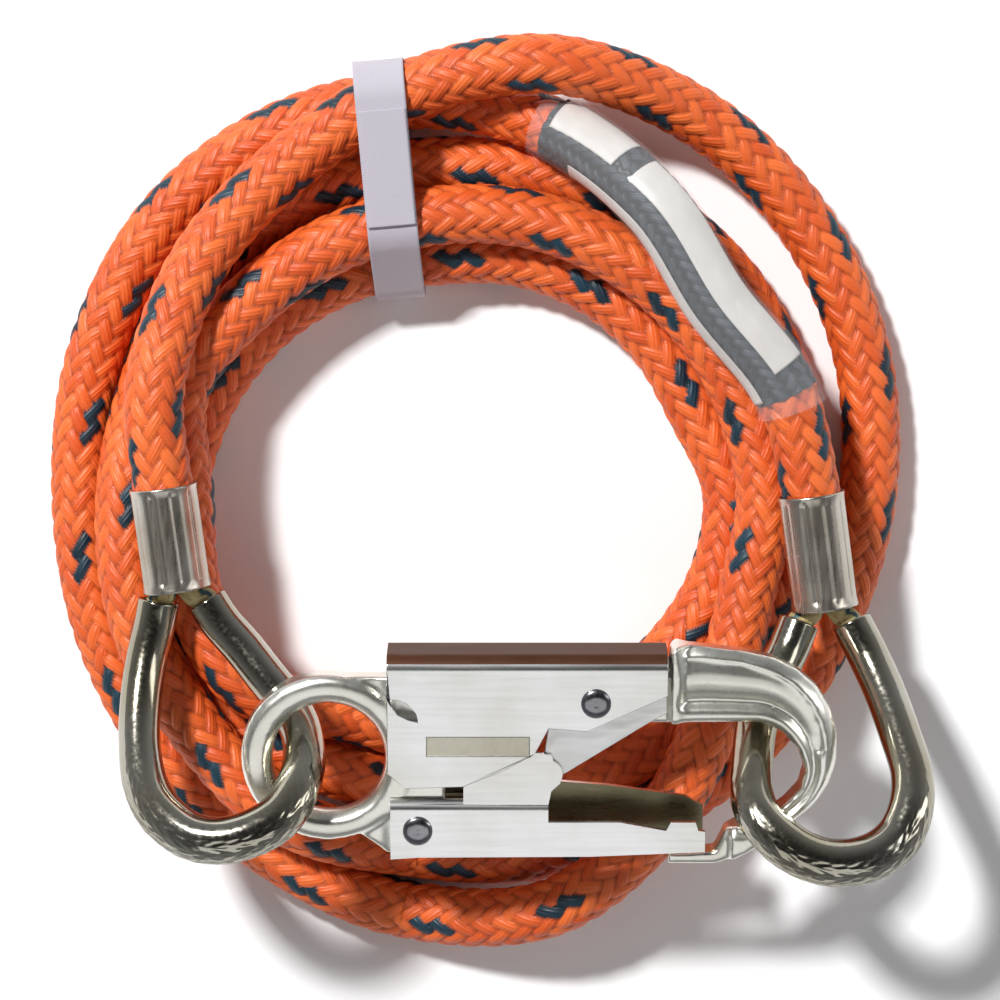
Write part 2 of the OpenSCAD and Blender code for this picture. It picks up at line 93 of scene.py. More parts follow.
# The wrap, labels and clear sleeve, by stations after the last turn begins.
WRAP_FROM, WRAP_TO, WRAP_R = 5.1, 8.05, 6.86
SLEEVE_FROM, SLEEVE_TO, SLEEVE_R, SLEEVE_BORE = 5, 8.2, 7.45, 7.15
LABEL_R, LABEL_THICK = 6.92, 0.18
# Each label's piece, node, first and last station, and its edges in degrees round from the top.
LABELS = [("short_label", "label_short", 5.15, 5.7, -70, 4),
    ("long_label", "label_long", 5.85, 7.8, -66, 4),
    ("strip_label", "label_strip", 5.4, 8.0, 52, 84)]

# The hook's own axes: along it, towards its spine, and through its thickness, from this origin.
HOOK_Y, HOOK_Z, HOOK_ROLL = -51.5, 42.0, radians(9)
GATE_PIVOT, GATE_HALF = (-15.4, -13.8), 5.2
LEVER_PIVOT, LEVER_HALF = (21, 14), 6.8
EYE, EYE_R, RING_WIDE = (-33.7, 0.8), 11.6, 6.0


# --- sizes that only the looks use, in millimetres ----------------------------------------
# How deep each braid's relief is.
ROPE_RELIEF, WRAP_RELIEF, CORE_RELIEF = 1.15, 0.5, 0.4
# The core line's eye: its two legs' half spacing at the mouth, and how far they run into the ferrule.
CORE_R, CORE_HALF_GAP, CORE_DEPTH = 2.55, 2.5, 8
# Where the overlap is: between two distances from the plane's own middle, and above a height.
OVERLAP_NEAR, OVERLAP_FAR, OVERLAP_ABOVE = 58, 82, 15
RIVET_HEAD_R, RIVET_SHANK_R, RIVET_GAP = 3.05, 1.88, 0.08
# The bend's two edges, and its thickness as a share of the full one, from the inner to the outer.
BEND_INNER = [(36.2, 8.6), (50, 8.8), (55, 8.8), (59, 7), (62.5, 3), (64, -1.5), (63, -5.5), (60, -9),
    (56, -11.5), (52, -13)]
BEND_OUTER = [(36.2, 23.6), (43, 24.6), (51, 23.6), (57, 22.2), (62, 19.8), (66, 16.2), (69, 11.5),
    (70.5, 6), (70.5, 0), (69, -5), (66, -9.5), (61.5, -13.5), (56, -17)]
BEND_SHARE = [0.0, 0.04, 0.1, 0.2, 0.27, 0.33, 0.42, 0.55, 0.68, 0.8, 0.9, 1.0]
BEND_HEIGHT = [0.72, 0.86, 0.9, 0.86, 0.66, 0.68, 0.9, 1.0, 0.97, 0.84, 0.66, 0.36]


# --- camera -------------------------------------------------------------------------------
def make_camera():
    """Almost straight down, leaning from the coil's far side."""
    lean = radians(5.0)
    distance = 0.75
    focal_length = 124.7
    target = Vector((0.0037, -0.0022, 0.0))
    data = bpy.data.cameras.new("camera")
    data.sensor_width = 36.0
    data.lens = focal_length
    cam = bpy.data.objects.new("camera", data)
    bpy.context.collection.objects.link(cam)
    cam.location = target + Vector((0, sin(lean), cos(lean))) * distance
    cam.rotation_euler = (-lean, 0, 0)
    bpy.context.scene.camera = cam


# --- curves -------------------------------------------------------------------------------
STATION_STEPS = 12


def station_point(k):
    """A station's place, from its own radius and height round the coil's centre."""
    angle = radians(FIRST_STATION - STATION * k)
    radius, height = ROUTE[k]
    return COIL_CENTRE + np.array([radius * cos(angle), radius * sin(angle), height])


def smooth_line(points, steps=STATION_STEPS):
    """A Catmull-Rom curve through the points, with steps points to each stretch."""
    p = np.array(points, float)
    p = np.vstack([2 * p[0] - p[1], p, 2 * p[-1] - p[-2]])
    out = []
    for i in range(1, len(p) - 2):
        for t in np.arange(steps) / steps:
            a, b, c, d = p[i - 1], p[i], p[i + 1], p[i + 2]
            out.append(0.5 * (2 * b + (c - a) * t + (2 * a - 5 * b + 4 * c - d) * t ** 2
                              + (3 * b - a - 3 * c + d) * t ** 3))
    out.append(p[-2])
    return np.array(out)


def lengths(line):
    """Each point's distance along a line."""
    return np.concatenate([[0], np.cumsum(np.linalg.norm(np.diff(line, axis=0), axis=1))])


def resample(line, step):
    """The line with points step apart, and each one's distance along it."""
    along = lengths(line)
    s = np.linspace(0, along[-1], max(3, int(round(along[-1] / step)) + 1))
    return np.stack([np.interp(s, along, line[:, k]) for k in range(3)], axis=1), s


def frames(line):
    """Sideways and upward unit vectors at each point of a line."""
    t = np.gradient(line, axis=0)
    t /= np.linalg.norm(t, axis=1)[:, None]
    s = np.cross(t, [0, 0, 1.0])
    s /= np.linalg.norm(s, axis=1)[:, None]
    return s, np.cross(s, t)


def rope_line():
    """Out of one ferrule, round the coil and into the other ferrule."""
    ends = []
    for ferrule in (FERRULE_LEFT, FERRULE_RIGHT):
        mouth, far = np.array(ferrule, float)
        axis = far - mouth
        ends.append([mouth + RUN_IN * axis, mouth - MOUTH_GAP * axis / np.linalg.norm(axis)])
    middle = [station_point(k) for k in range(1, len(ROUTE) - 1)]
    line = smooth_line(ends[0] + middle + ends[1][::-1])
    line[:, 2] = np.maximum(line[:, 2], LOWEST)
    return line


ROPE = rope_line()


def between(s0, s1):
    """The rope's centreline between two stations, with a point about every half millimetre."""
    knots = lengths(ROPE)
    place = np.interp([s0 + 1, s1 + 1], np.arange(len(ROPE)) / STATION_STEPS, knots)
    s = np.linspace(place[0], place[1], max(8, int((place[1] - place[0]) / 0.5)))
    return np.stack([np.interp(s, knots, ROPE[:, k]) for k in range(3)], axis=1)


# --- meshes -------------------------------------------------------------------------------
def add_mesh(name, verts, faces, body, replaced):
    """A smooth mesh piece given in millimetres, set in the frame."""
    mesh = bpy.data.meshes.new(name)
    mesh.from_pydata(((np.array(verts) + CENTRE) * MM).tolist(), [], faces)
    mesh.update()
    obj = bpy.data.objects.new(name, mesh)
    bpy.context.collection.objects.link(obj)
    mesh.polygons.foreach_set("use_smooth", [True] * len(mesh.polygons))
    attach(obj, body)
    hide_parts(*replaced)
    return obj


def grid_faces(m, n, cap=True):
    """Quads over m closed rings of n points, with one face over each end ring."""
    i = np.arange(m - 1)[:, None] * n
    k = np.arange(n)[None, :]
    nxt = (k + 1) % n
    quads = np.stack([i + k, i + nxt, i + n + nxt, i + n + k], axis=-1).reshape(-1, 4).tolist()
    if cap:
        quads.append(list(range(n - 1, -1, -1)))
        quads.append(list(range((m - 1) * n, m * n)))
    return quads


def tube_points(line, radius, n):
    """Rings of n points round a line; radius is a number or has one value for each point."""
    s, u = frames(line)
    phi = 2 * pi * np.arange(n) / n
    r = np.broadcast_to(radius, (len(line), n)) if np.ndim(radius) < 2 else radius
    return (line[:, None, :] + r[..., None] * (np.sin(phi)[None, :, None] * s[:, None, :]
            - np.cos(phi)[None, :, None] * u[:, None, :]))


def swept_tube(name, line, r_out, r_in, n, body, replaced):
    """A pipe with a wall between two radii, along a line."""
    m = len(line)
    outer = tube_points(line, r_out, n).reshape(-1, 3)
    inner = tube_points(line, r_in, n).reshape(-1, 3)
    faces = grid_faces(m, n, cap=False)
    faces += [[m * n + v for v in reversed(f)] for f in grid_faces(m, n, cap=False)]
    for start, turn in ((0, 1), ((m - 1) * n, -1)):
        for k in range(n):
            a, b = start + k, start + (k + 1) % n
            quad = [b, a, m * n + a, m * n + b]
            faces.append(quad if turn == 1 else quad[::-1])
    return add_mesh(name, np.vstack([outer, inner]), faces, body, replaced)


def arc_shell(name, line, r_in, thick, a0, a1, body, replaced):
    """A strip of film over part of the rope, a0 to a1 degrees round from the top."""
    n = 28
    s, u = frames(line)
    angles = np.radians(np.linspace(a0, a1, n))
    loop_a = np.concatenate([angles, angles[::-1]])
    loop_r = np.concatenate([np.full(n, r_in + thick), np.full(n, r_in)])
    pts = (line[:, None, :] + loop_r[None, :, None] * (np.sin(loop_a)[None, :, None] * s[:, None, :]
           + np.cos(loop_a)[None, :, None] * u[:, None, :]))
    return add_mesh(name, pts.reshape(-1, 3), grid_faces(len(line), 2 * n), body, replaced)


def set_attribute(obj, name, values):
    """A value on each point, for the materials."""
    layer = obj.data.attributes.new(name, "FLOAT", "POINT")
    layer.data.foreach_set("value", np.ascontiguousarray(values, dtype=np.float32).ravel())


# --- the braid ----------------------------------------------------------------------------
COLUMNS = 12
PITCH = 4.9
# Half a pick's length and width, how square its outline is, and how far its far end stands out.
PICK_LONG = 3.6
PICK_WIDE = 1.68
PICK_POWER = 2.4
PICK_LIFT = 0.10
PICK_TILT = radians(36)


def tracer_pick(j, k):
    """Dark picks come in pairs, one after the other, six rows apart, in every fourth column."""
    column = j % COLUMNS
    row = (k + np.where(column == 5, 2, np.where(column == 9, 4, 0))) % 6
    return (column % 4 == 1) & (row < 2)


def pick_tone(j, k):
    """A repeatable value between 0 and 1 for each pick."""
    return np.abs(np.sin(k * 12.9898 + (j % COLUMNS) * 78.233) * 43758.5453) % 1


def braid(s, phi, radius, depth):
    """Surface radius, place across the yarn, tone, tracer and height over a braid of twelve columns."""
    width = 2 * pi / COLUMNS
    best = np.full(np.broadcast(s, phi).shape, -1.0)
    yarn, tone, tracer = np.zeros_like(best), np.zeros_like(best), np.zeros_like(best)
    base_j = np.floor(phi / width + 0.5).astype(int)
    for dj in (-1, 0, 1):
        j = base_j + dj
        odd = (j % 2).astype(float)
        slope = np.where(odd > 0, -1.0, 1.0)
        base_k = np.round((s - odd * PITCH / 2) / PITCH).astype(int)
        for dk in (-1, 0, 1):
            k = base_k + dk
            du = s - odd * PITCH / 2 - k * PITCH
            dv = radius * (phi - j * width)
            a = du * cos(PICK_TILT) + slope * dv * sin(PICK_TILT)
            b = -du * sin(PICK_TILT) * slope + dv * cos(PICK_TILT)
            end = 1 - (np.abs(a) / PICK_LONG) ** PICK_POWER
            edge = 1 - (np.abs(b) / PICK_WIDE) ** PICK_POWER
            h = np.sqrt(np.clip(end, 0, 1)) * np.sqrt(np.clip(edge, 0, 1)) + PICK_LIFT * a / PICK_LONG
            h = np.where((end <= 0) | (edge <= 0), -1.0, h)
            win = h > best
            best = np.where(win, h, best)
            yarn = np.where(win, b / PICK_WIDE, yarn)
            tone = np.where(win, pick_tone(j, k), tone)
            tracer = np.where(win, tracer_pick(j, k).astype(float), tracer)
    height = np.clip(best, 0, 1)
    return radius - depth + depth * height, yarn, tone, tracer, height


def braided(name, line, radius, depth, body, replaced, step=0.55, sides=96, twist=0.8, scale=1.0):
    """A braided surface swept along a line, slowly twisting to and fro; scale sizes the picks."""
    pts, s = resample(line, step)
    phi = 2 * pi * np.arange(sides)[None, :] / sides
    turn = twist * np.sin(s / 97.0) + 0.5 * twist * np.sin(s / 41.0 + 1.0)
    r, yarn, tone, tracer, height = braid(s[:, None] / scale, phi + turn[:, None], radius / scale,
                                          depth / scale)
    rings = tube_points(pts, r * scale, sides)
    obj = add_mesh(name, rings.reshape(-1, 3), grid_faces(len(pts), sides), body, replaced)
    for key, values in (("yarn", yarn), ("tone", tone), ("tracer", tracer), ("height", height)):
        set_attribute(obj, key, values)
    return obj, pts


# --- materials ----------------------------------------------------------------------------
def new_material(name, **sockets):
    """A material with a Principled shader whose own sockets take the fixed values."""
    mat = bpy.data.materials.new(name)
    mat.use_nodes = True
    tree = mat.node_tree
    shader = tree.nodes["Principled BSDF"]
    for key, value in sockets.items():
        shader.inputs[key.replace("_", " ")].default_value = value
    return mat, tree, shader


def attribute(tree, name):
    """A value that set_attribute gave the mesh."""
    n = tree.nodes.new("ShaderNodeAttribute")
    n.attribute_name = name
    return n.outputs["Fac"]


def math_node(tree, operation, *values):
    """One sum; each value is a number or another node's output."""
    n = tree.nodes.new("ShaderNodeMath")
    n.operation = operation
    for k, value in enumerate(values):
        if isinstance(value, (int, float)):
            n.inputs[k].default_value = value
        else:
            tree.links.new(value, n.inputs[k])
    return n.outputs[0]


def times(tree, a, b):
    return math_node(tree, "MULTIPLY", a, b)


def plus(tree, a, b):
    return math_node(tree, "ADD", a, b)


def mix(tree, factor, a, b):
    """From colour a to colour b; each is three numbers or another node's output."""
    n = tree.nodes.new("ShaderNodeMix")
    n.data_type = "RGBA"
    tree.links.new(factor, n.inputs["Factor"])
    for socket, value in ((n.inputs[6], a), (n.inputs[7], b)):
        if isinstance(value, tuple):
            socket.default_value = (*value, 1)
        else:
            tree.links.new(value, socket)
    return n.outputs[2]


def noise(tree, scale, detail=3.0, stretch=None):
    """Noise in object space, optionally stretched."""
    coords = tree.nodes.new("ShaderNodeTexCoord")
    source = coords.outputs["Object"]
    if stretch:
        mapping = tree.nodes.new("ShaderNodeMapping")
        mapping.inputs["Scale"].default_value = stretch
        tree.links.new(source, mapping.inputs["Vector"])
        source = mapping.outputs["Vector"]
    n = tree.nodes.new("ShaderNodeTexNoise")
    n.inputs["Scale"].default_value = scale
    n.inputs["Detail"].default_value = detail
    tree.links.new(source, n.inputs["Vector"])
    return n.outputs["Fac"]


def ramp(tree, value, low, high, a=0.0, b=1.0):
    """From a to b while the value goes from low to high."""
    n = tree.nodes.new("ShaderNodeMapRange")
    for k, v in enumerate((low, high, a, b)):
        n.inputs[k + 1].default_value = v
    tree.links.new(value, n.inputs["Value"])
    return n.outputs["Result"]


def bump(tree, shader, height, strength, distance):
    """Relief that only the light sees."""
    n = tree.nodes.new("ShaderNodeBump")
    n.inputs["Strength"].default_value = strength
    n.inputs["Distance"].default_value = distance
    tree.links.new(height, n.inputs["Height"])
    tree.links.new(n.outputs["Normal"], shader.inputs["Normal"])


def rope_material(name, main, light, shade, tracer_dark, tracer_light):
    """Filament yarn: lines along each pick, shade in the crevices, a tone for each pick."""
    mat, tree, shader = new_material(name, Roughness=0.48)
    lines = math_node(tree, "SINE", times(tree, attribute(tree, "yarn"), 13.0))
    fibre = noise(tree, 2600.0, 2.0)
    tone = plus(tree, times(tree, attribute(tree, "tone"), 0.55), times(tree, fibre, 0.5))
    orange = mix(tree, tone, main, light)
    dark = mix(tree, tone, tracer_dark, tracer_light)
    yarn_colour = mix(tree, attribute(tree, "tracer"), orange, dark)
    crevice = ramp(tree, attribute(tree, "height"), 0.05, 0.8)
    shaded = mix(tree, crevice, shade, yarn_colour)
    tracer_shade = mix(tree, attribute(tree, "tracer"), shaded,
                       mix(tree, crevice, (0.002, 0.004, 0.008), yarn_colour))
    tree.links.new(tracer_shade, shader.inputs["Base Color"])
    height = plus(tree, times(tree, lines, 0.5), times(tree, fibre, 0.6))
    bump(tree, shader, height, 0.55, 0.00012)
    return mat


def metal_material(name, colour, tint, rough, grain=(1, 1, 1), relief=0.04, dull=0.10):
    """Satin plated steel: slow mottling of the plating, and a fine grain that also dulls it."""
    mat, tree, shader = new_material(name, Metallic=1.0)
    cloud = noise(tree, 60.0)
    fine = noise(tree, 1200.0, stretch=grain)
    tree.links.new(mix(tree, ramp(tree, cloud, 0.35, 0.7), colour, tint), shader.inputs["Base Color"])
    roughness = plus(tree, rough, times(tree, ramp(tree, fine, 0.3, 0.7), dull))
    tree.links.new(roughness, shader.inputs["Roughness"])
    bump(tree, shader, fine, relief, 0.0001)
    return mat


def brown_material():
    """The lever's back, painted dark brown with paler streaks: a painted reflection."""
    mat, tree, shader = new_material("browned_back", Metallic=0.35, Specular_IOR_Level=0.15)
    cloud = noise(tree, 70.0, 4.0)
    streaks = noise(tree, 500.0, stretch=(0.1, 1, 1))
    brown = mix(tree, cloud, (0.050, 0.018, 0.008), (0.115, 0.050, 0.026))
    tree.links.new(mix(tree, ramp(tree, streaks, 0.62, 0.8, 0.0, 0.5), brown, (0.20, 0.13, 0.09)),
                   shader.inputs["Base Color"])
    tree.links.new(plus(tree, 0.38, times(tree, cloud, 0.2)), shader.inputs["Roughness"])
    bump(tree, shader, streaks, 0.1, 0.0001)
    return mat


def make_materials():
    m = {}
    m["rope"] = rope_material("rope_yarn", (0.60, 0.060, 0.004), (0.92, 0.185, 0.033),
                              (0.09, 0.004, 0.001), (0.001, 0.007, 0.014), (0.004, 0.043, 0.072))
    m["wrap"] = rope_material("dark_wrap", (0.012, 0.017, 0.025), (0.055, 0.068, 0.088),
                              (0.003, 0.004, 0.006), (0.015, 0.02, 0.028), (0.06, 0.075, 0.09))
    m["core"] = rope_material("core_yarn", (0.42, 0.30, 0.10), (0.72, 0.60, 0.30),
                              (0.10, 0.06, 0.02), (0.005, 0.03, 0.04), (0.03, 0.15, 0.18))
    m["forging"] = metal_material("plated_forging", (0.92, 0.91, 0.85), (0.80, 0.78, 0.69), 0.27,
                                  relief=0.006, dull=0.04)
    m["plate"] = metal_material("plated_pressing", (0.86, 0.86, 0.86), (0.76, 0.75, 0.71), 0.21,
                                (0.04, 1, 1), relief=0.012, dull=0.07)
    # Painted reflection for the lever's back: dark brown with paler streaks.
    m["brown"] = brown_material()
    # A darker, yellower grey for the lever's recessed front panel.
    m["aged"] = metal_material("aged_panel", (0.66, 0.63, 0.52), (0.56, 0.52, 0.42), 0.30)
    # Painted shade for the inside of the gate's rear plate.
    m["olive"] = metal_material("shaded_plate", (0.20, 0.18, 0.11), (0.12, 0.11, 0.065), 0.24, (0.15, 1, 1))
    m["arm"] = metal_material("plated_arm", (0.86, 0.86, 0.86), (0.76, 0.75, 0.72), 0.34, (0.15, 1, 1))
    m["rivet"] = metal_material("plated_rivet", (0.30, 0.30, 0.32), (0.20, 0.20, 0.21), 0.16)
    m["ferrule"] = metal_material("swaged_steel", (0.60, 0.57, 0.52), (0.42, 0.37, 0.30), 0.24, (1, 0.1, 1))
    m["thimble"] = metal_material("thimble_tube", (0.47, 0.45, 0.39), (0.36, 0.33, 0.24), 0.10)
    m["brass"] = metal_material("bush_metal", (0.62, 0.45, 0.16), (0.45, 0.3, 0.1), 0.3)
    m["label"] = label_material()
    m["band"] = band_material()
    m["clear"] = clear_material()
    m["floor"] = floor_material()
    return m


def label_material():
    """Greyish printed film, without its print."""
    mat, tree, shader = new_material("label_film", Roughness=0.38)
    cloud = noise(tree, 160.0, 4.0)
    tree.links.new(mix(tree, cloud, (0.54, 0.51, 0.48), (0.72, 0.70, 0.67)), shader.inputs["Base Color"])
    bump(tree, shader, noise(tree, 700.0, 2.0), 0.15, 0.0001)
    return mat


def band_material():
    """Pale lilac tape in a plain weave, its pitches in millimetres."""
    mat, tree, shader = new_material("band_tape", Roughness=0.62, Sheen_Weight=0.2)
    warp_pitch, weft_pitch = 0.55, 0.5
    warp = math_node(tree, "SINE", times(tree, attribute(tree, "along"), 2 * pi / warp_pitch))
    weft = math_node(tree, "SINE", times(tree, attribute(tree, "across"), 2 * pi / weft_pitch))
    weave = times(tree, warp, weft)
    # Darker where the threads sink under each other: painted shade in the weave.
    tone = ramp(tree, weave, -1.0, 1.0)
    tree.links.new(mix(tree, tone, (0.36, 0.33, 0.39), (0.62, 0.59, 0.65)), shader.inputs["Base Color"])
    bump(tree, shader, weave, 0.35, 0.00012)
    return mat


def clear_material():
    """Thin clear film, slightly crumpled."""
    mat, tree, shader = new_material("clear_film", Roughness=0.10, Alpha=0.07, Coat_Weight=0.4, IOR=1.45)
    cloud = noise(tree, 220.0, 2.0)
    tree.links.new(mix(tree, cloud, (0.78, 0.82, 0.84), (0.95, 0.96, 0.97)), shader.inputs["Base Color"])
    bump(tree, shader, cloud, 0.4, 0.0006)
    return mat


def floor_material():
    """Nearly white, nearly even."""
    mat, tree, shader = new_material("pale_floor", Roughness=0.8)
    tree.links.new(mix(tree, noise(tree, 4.0), (0.95, 0.95, 0.95), (0.97, 0.97, 0.97)),
                   shader.inputs["Base Color"])
    return mat


def dress(obj, mat):
    """One material, in place of any others."""
    obj.data.materials.clear()
    obj.data.materials.append(mat)


# --- rope ---------------------------------------------------------------------------------
def make_rope(mats):
    """The braided cover, and a path through every eighth point of its centreline, which nothing uses."""
    obj, pts = braided("rope", ROPE, ROPE_D / 2, ROPE_RELIEF, "lanyard", ["rope_cover"])
    dress(obj, mats["rope"])
    path = [tuple(p) for p in (pts[::8] + CENTRE) * MM]
    path.append(tuple((pts[-1] + CENTRE) * MM))


# --- terminations -------------------------------------------------------------------------
def make_ferrule(name, line, mats):
    """A swaged sleeve: shallow flutes, a rolled rim at the rope and a flared lip at the thimble."""
    start, end = np.array(line[0], float), np.array(line[1], float)
    m, n = 70, 160
    t = np.linspace(0, 1, m)
    axis = start + (end - start) * t[:, None]
    phi = 2 * pi * np.arange(n) / n
    window = np.clip(np.minimum(t - 0.03, 0.95 - t) / 0.05, 0, 1)
    flutes = 0.8 * np.abs(np.cos(phi * 5.0)) ** 0.7 + 0.1 * np.sin(phi * 17 + 1.0)
    rim = 0.35 * np.exp(-((t - 0.012) / 0.014) ** 2) + 0.5 * np.exp(-((t - 0.985) / 0.016) ** 2)
    r = FERRULE_R - 0.42 * window[:, None] * (1 - flutes[None, :]) + rim[:, None] * 0.2
    obj = swept_tube(name, axis, r, FERRULE_BORE, n, "lanyard", [name])
    dress(obj, mats["ferrule"])


def bend_window(line):
    """One at the far end of the loop, nothing along the legs."""
    drop = line[:, 1].max() - line[:, 1]
    return np.clip((drop / drop.max() - 0.62) / 0.3, 0, 1)


def make_thimble(name, points, mats):
    """A plated tube, pressed oval and wrinkled on the outside of its bend."""
    line, along = resample(smooth_line(points), 0.4)
    n = 96
    phi = 2 * pi * np.arange(n) / n
    s, u = frames(line)
    middle = line.mean(axis=0)
    outward = np.sign(((line - middle) * s).sum(axis=1))
    window = bend_window(line)
    outer_flank = np.clip(outward[:, None] * np.sin(phi)[None, :] - 0.1 - 0.5 * np.cos(phi)[None, :], 0, 1)
    oval = 1 + 0.13 * window[:, None] * np.abs(np.sin(phi))[None, :]
    ridges = (0.10 * np.sin(phi * 46)[None, :]
              + 0.07 * np.sin(along[:, None] * 1.9 + 3 * np.sin(phi * 9)[None, :]))
    ridges += 0.05 * np.sin(along[:, None] * 0.7 + phi[None, :] * 31)
    r = THIMBLE_R * oval + window[:, None] * outer_flank * ridges
    obj = swept_tube(name, line, r, THIMBLE_BORE, n, "lanyard", [name])
    dress(obj, mats["thimble"])


def make_core_loop(name, line, points, mats):
    """The core line's eye, seen between the ferrule's mouth and the tube's ends."""
    mouth, start = np.array(line[1], float), np.array(line[0], float)
    back = (start - mouth) / np.linalg.norm(start - mouth)
    first, last = np.array(points[0], float), np.array(points[-1], float)
    near = (first - last) / np.linalg.norm(first - last) * CORE_HALF_GAP
    inside = mouth + CORE_DEPTH * back
    route = [inside + near, mouth + near] + points + [mouth - near, inside - near]
    obj, _ = braided(name, smooth_line(route, 6), CORE_R, CORE_RELIEF, "lanyard", [name],
                     step=0.5, sides=40, twist=0.3, scale=0.45)
    dress(obj, mats["core"])


# --- band ---------------------------------------------------------------------------------
def convex_hull(points):
    """The outline round a cloud of flat points, by a monotone chain."""
    pts = sorted(map(tuple, points))

    def half(seq):
        out = []
        for p in seq:
            while len(out) > 1 and ((out[-1][0] - out[-2][0]) * (p[1] - out[-2][1])
                                    - (out[-1][1] - out[-2][1]) * (p[0] - out[-2][0])) <= 0:
                out.pop()
            out.append(p)
        return out[:-1]
    return np.array(half(pts) + half(pts[::-1]))


def band_strand(turn, edge):
    """Where one strand meets the band's plane, as [distance, height]."""
    near = ROUTE[round(BAND_AT) - PER_TURN * turn][0]
    meets = (FIRST_STATION - BAND_DIRECTION - math.degrees(math.asin(BAND_OFFSET / near))) / STATION
    station = LAST_TURN - PER_TURN * turn + meets + edge * BAND_HALF / STATION_RUN
    p = ROPE[int(round((station + 1) * STATION_STEPS))] - COIL_CENTRE
    return [math.sqrt(p[0] ** 2 + p[1] ** 2 - BAND_OFFSET ** 2), p[2]]


def band_loop(r, count):
    """The line round all the strands at the band, as [distance, height], and its points' places."""
    circle = 2 * pi * np.arange(64) / 64
    ring = np.stack([np.cos(circle), np.sin(circle)], axis=1) * r
    cloud = [ring + np.array(band_strand(turn, edge)) for turn in range(STRANDS)
             for edge in (-1, 0, 1)]
    hull = convex_hull(np.vstack(cloud))
    above_floor = 0.1
    hull[:, 1] = np.maximum(hull[:, 1], above_floor)
    hull = np.vstack([hull, hull[:1]])
    along = lengths(hull)
    s = np.linspace(0, along[-1], count, endpoint=False)
    return np.stack([np.interp(s, along, hull[:, k]) for k in range(2)], axis=1), s


def band_place(hz, across):
    """From [distance, height] in the band's plane and a distance across it to the frame."""
    angle = radians(BAND_DIRECTION)
    outward = np.array([cos(angle), sin(angle), 0])
    sideways = np.array([-sin(angle), cos(angle), 0])
    upward = np.array([0, 0, 1.0])
    return (COIL_CENTRE + BAND_OFFSET * sideways + hz[..., 0:1] * outward + hz[..., 1:2] * upward
            + across[..., None] * sideways)


BAND_COUNT, BAND_WIDE = 420, 22


def woven(obj, along, across):
    """The tape's own coordinates, for its weave, on rows that go out along the top and back below."""
    set_attribute(obj, "along", np.repeat(along, 2 * len(across)))
    set_attribute(obj, "across", np.tile(np.concatenate([across, across[::-1]]), len(along)))


def make_band(mats):
    """Woven tape drawn round the coil, its edges a little curled."""
    count, wide = BAND_COUNT, BAND_WIDE
    across = np.linspace(-BAND_HALF, BAND_HALF, wide)
    inner, s = band_loop(BAND_R_IN, count)
    outer, _ = band_loop(BAND_R_OUT, count)
    curl = 0.12 * (np.abs(across) / BAND_HALF) ** 4
    normal = outer - inner
    normal /= np.linalg.norm(normal, axis=1)[:, None]
    lift = curl[None, :, None] * np.clip((inner[:, 1] - 6) / 8, 0, 1)[:, None, None]
    top = outer[:, None, :] + lift * normal[:, None, :]
    under = inner[:, None, :] + lift * normal[:, None, :]
    rows = [band_place(top, np.broadcast_to(across, (count, wide))),
            band_place(under[:, ::-1], np.broadcast_to(across[::-1], (count, wide)))]
    verts = np.concatenate(rows, axis=1)
    n = 2 * wide
    faces = []
    for i in range(count):
        a, b = i * n, ((i + 1) % count) * n
        faces += [[a + k, a + (k + 1) % n, b + (k + 1) % n, b + k] for k in range(n)]
    obj = add_mesh("band", verts.reshape(-1, 3), faces, "lanyard", ["coil_band"])
    woven(obj, s, across)
    dress(obj, mats["band"])


def make_closure(mats):
    """The overlap of the tape, on top of the coil."""
    wide = BAND_WIDE
    across = np.linspace(-OVERLAP_HALF, OVERLAP_HALF, wide)
    inner, s = band_loop(OVERLAP_R_IN, BAND_COUNT)
    outer, _ = band_loop(OVERLAP_R_OUT, BAND_COUNT)
    on_top = (inner[:, 0] > OVERLAP_NEAR) & (inner[:, 0] < OVERLAP_FAR) & (inner[:, 1] > OVERLAP_ABOVE)
    keep = np.where(on_top)[0]
    shape = (len(keep), wide)
    rows = [band_place(np.repeat(outer[keep][:, None], wide, 1), np.broadcast_to(across, shape)),
            band_place(np.repeat(inner[keep][:, None], wide, 1), np.broadcast_to(across[::-1], shape))]
    verts = np.concatenate(rows, axis=1)
    obj = add_mesh("band_overlap", verts.reshape(-1, 3), grid_faces(len(keep), 2 * wide), "lanyard",
                   ["band_closure"])
    woven(obj, s[keep], across)
    dress(obj, mats["band"])


# --- wrap, labels and sleeve --------------------------------------------------------------
def make_wrap(mats):
    """The dark braid under the labels."""
    line = between(LAST_TURN + WRAP_FROM, LAST_TURN + WRAP_TO)
    wrap, _ = braided("wrap", line, WRAP_R, WRAP_RELIEF, "lanyard", ["label_wrap"],
                      step=0.35, sides=160, twist=0.3, scale=0.55)
    dress(wrap, mats["wrap"])


def make_labels(mats):
    """Three blank labels on the wrap."""
    for name, node_name, s0, s1, a0, a1 in LABELS:
        line = between(LAST_TURN + s0, LAST_TURN + s1)
        label = arc_shell(name, line, LABEL_R, LABEL_THICK, a0, a1, "lanyard", [node_name])
        dress(label, mats["label"])


def make_sleeve(mats):
    """The clear film over the labels, gently rippled."""
    line = between(LAST_TURN + SLEEVE_FROM, LAST_TURN + SLEEVE_TO)
    n = 72
    phi = 2 * pi * np.arange(n) / n
    t = np.linspace(0, 1, len(line))
    ripple = (0.12 * np.sin(phi * 3)[None, :] * np.sin(t * 9)[:, None]
              + 0.06 * np.sin(phi * 7 + t[:, None] * 25))
    sleeve = swept_tube("sleeve", line, SLEEVE_R + ripple, SLEEVE_BORE + ripple, n, "lanyard",
                        ["clear_sleeve"])
    dress(sleeve, mats["clear"])


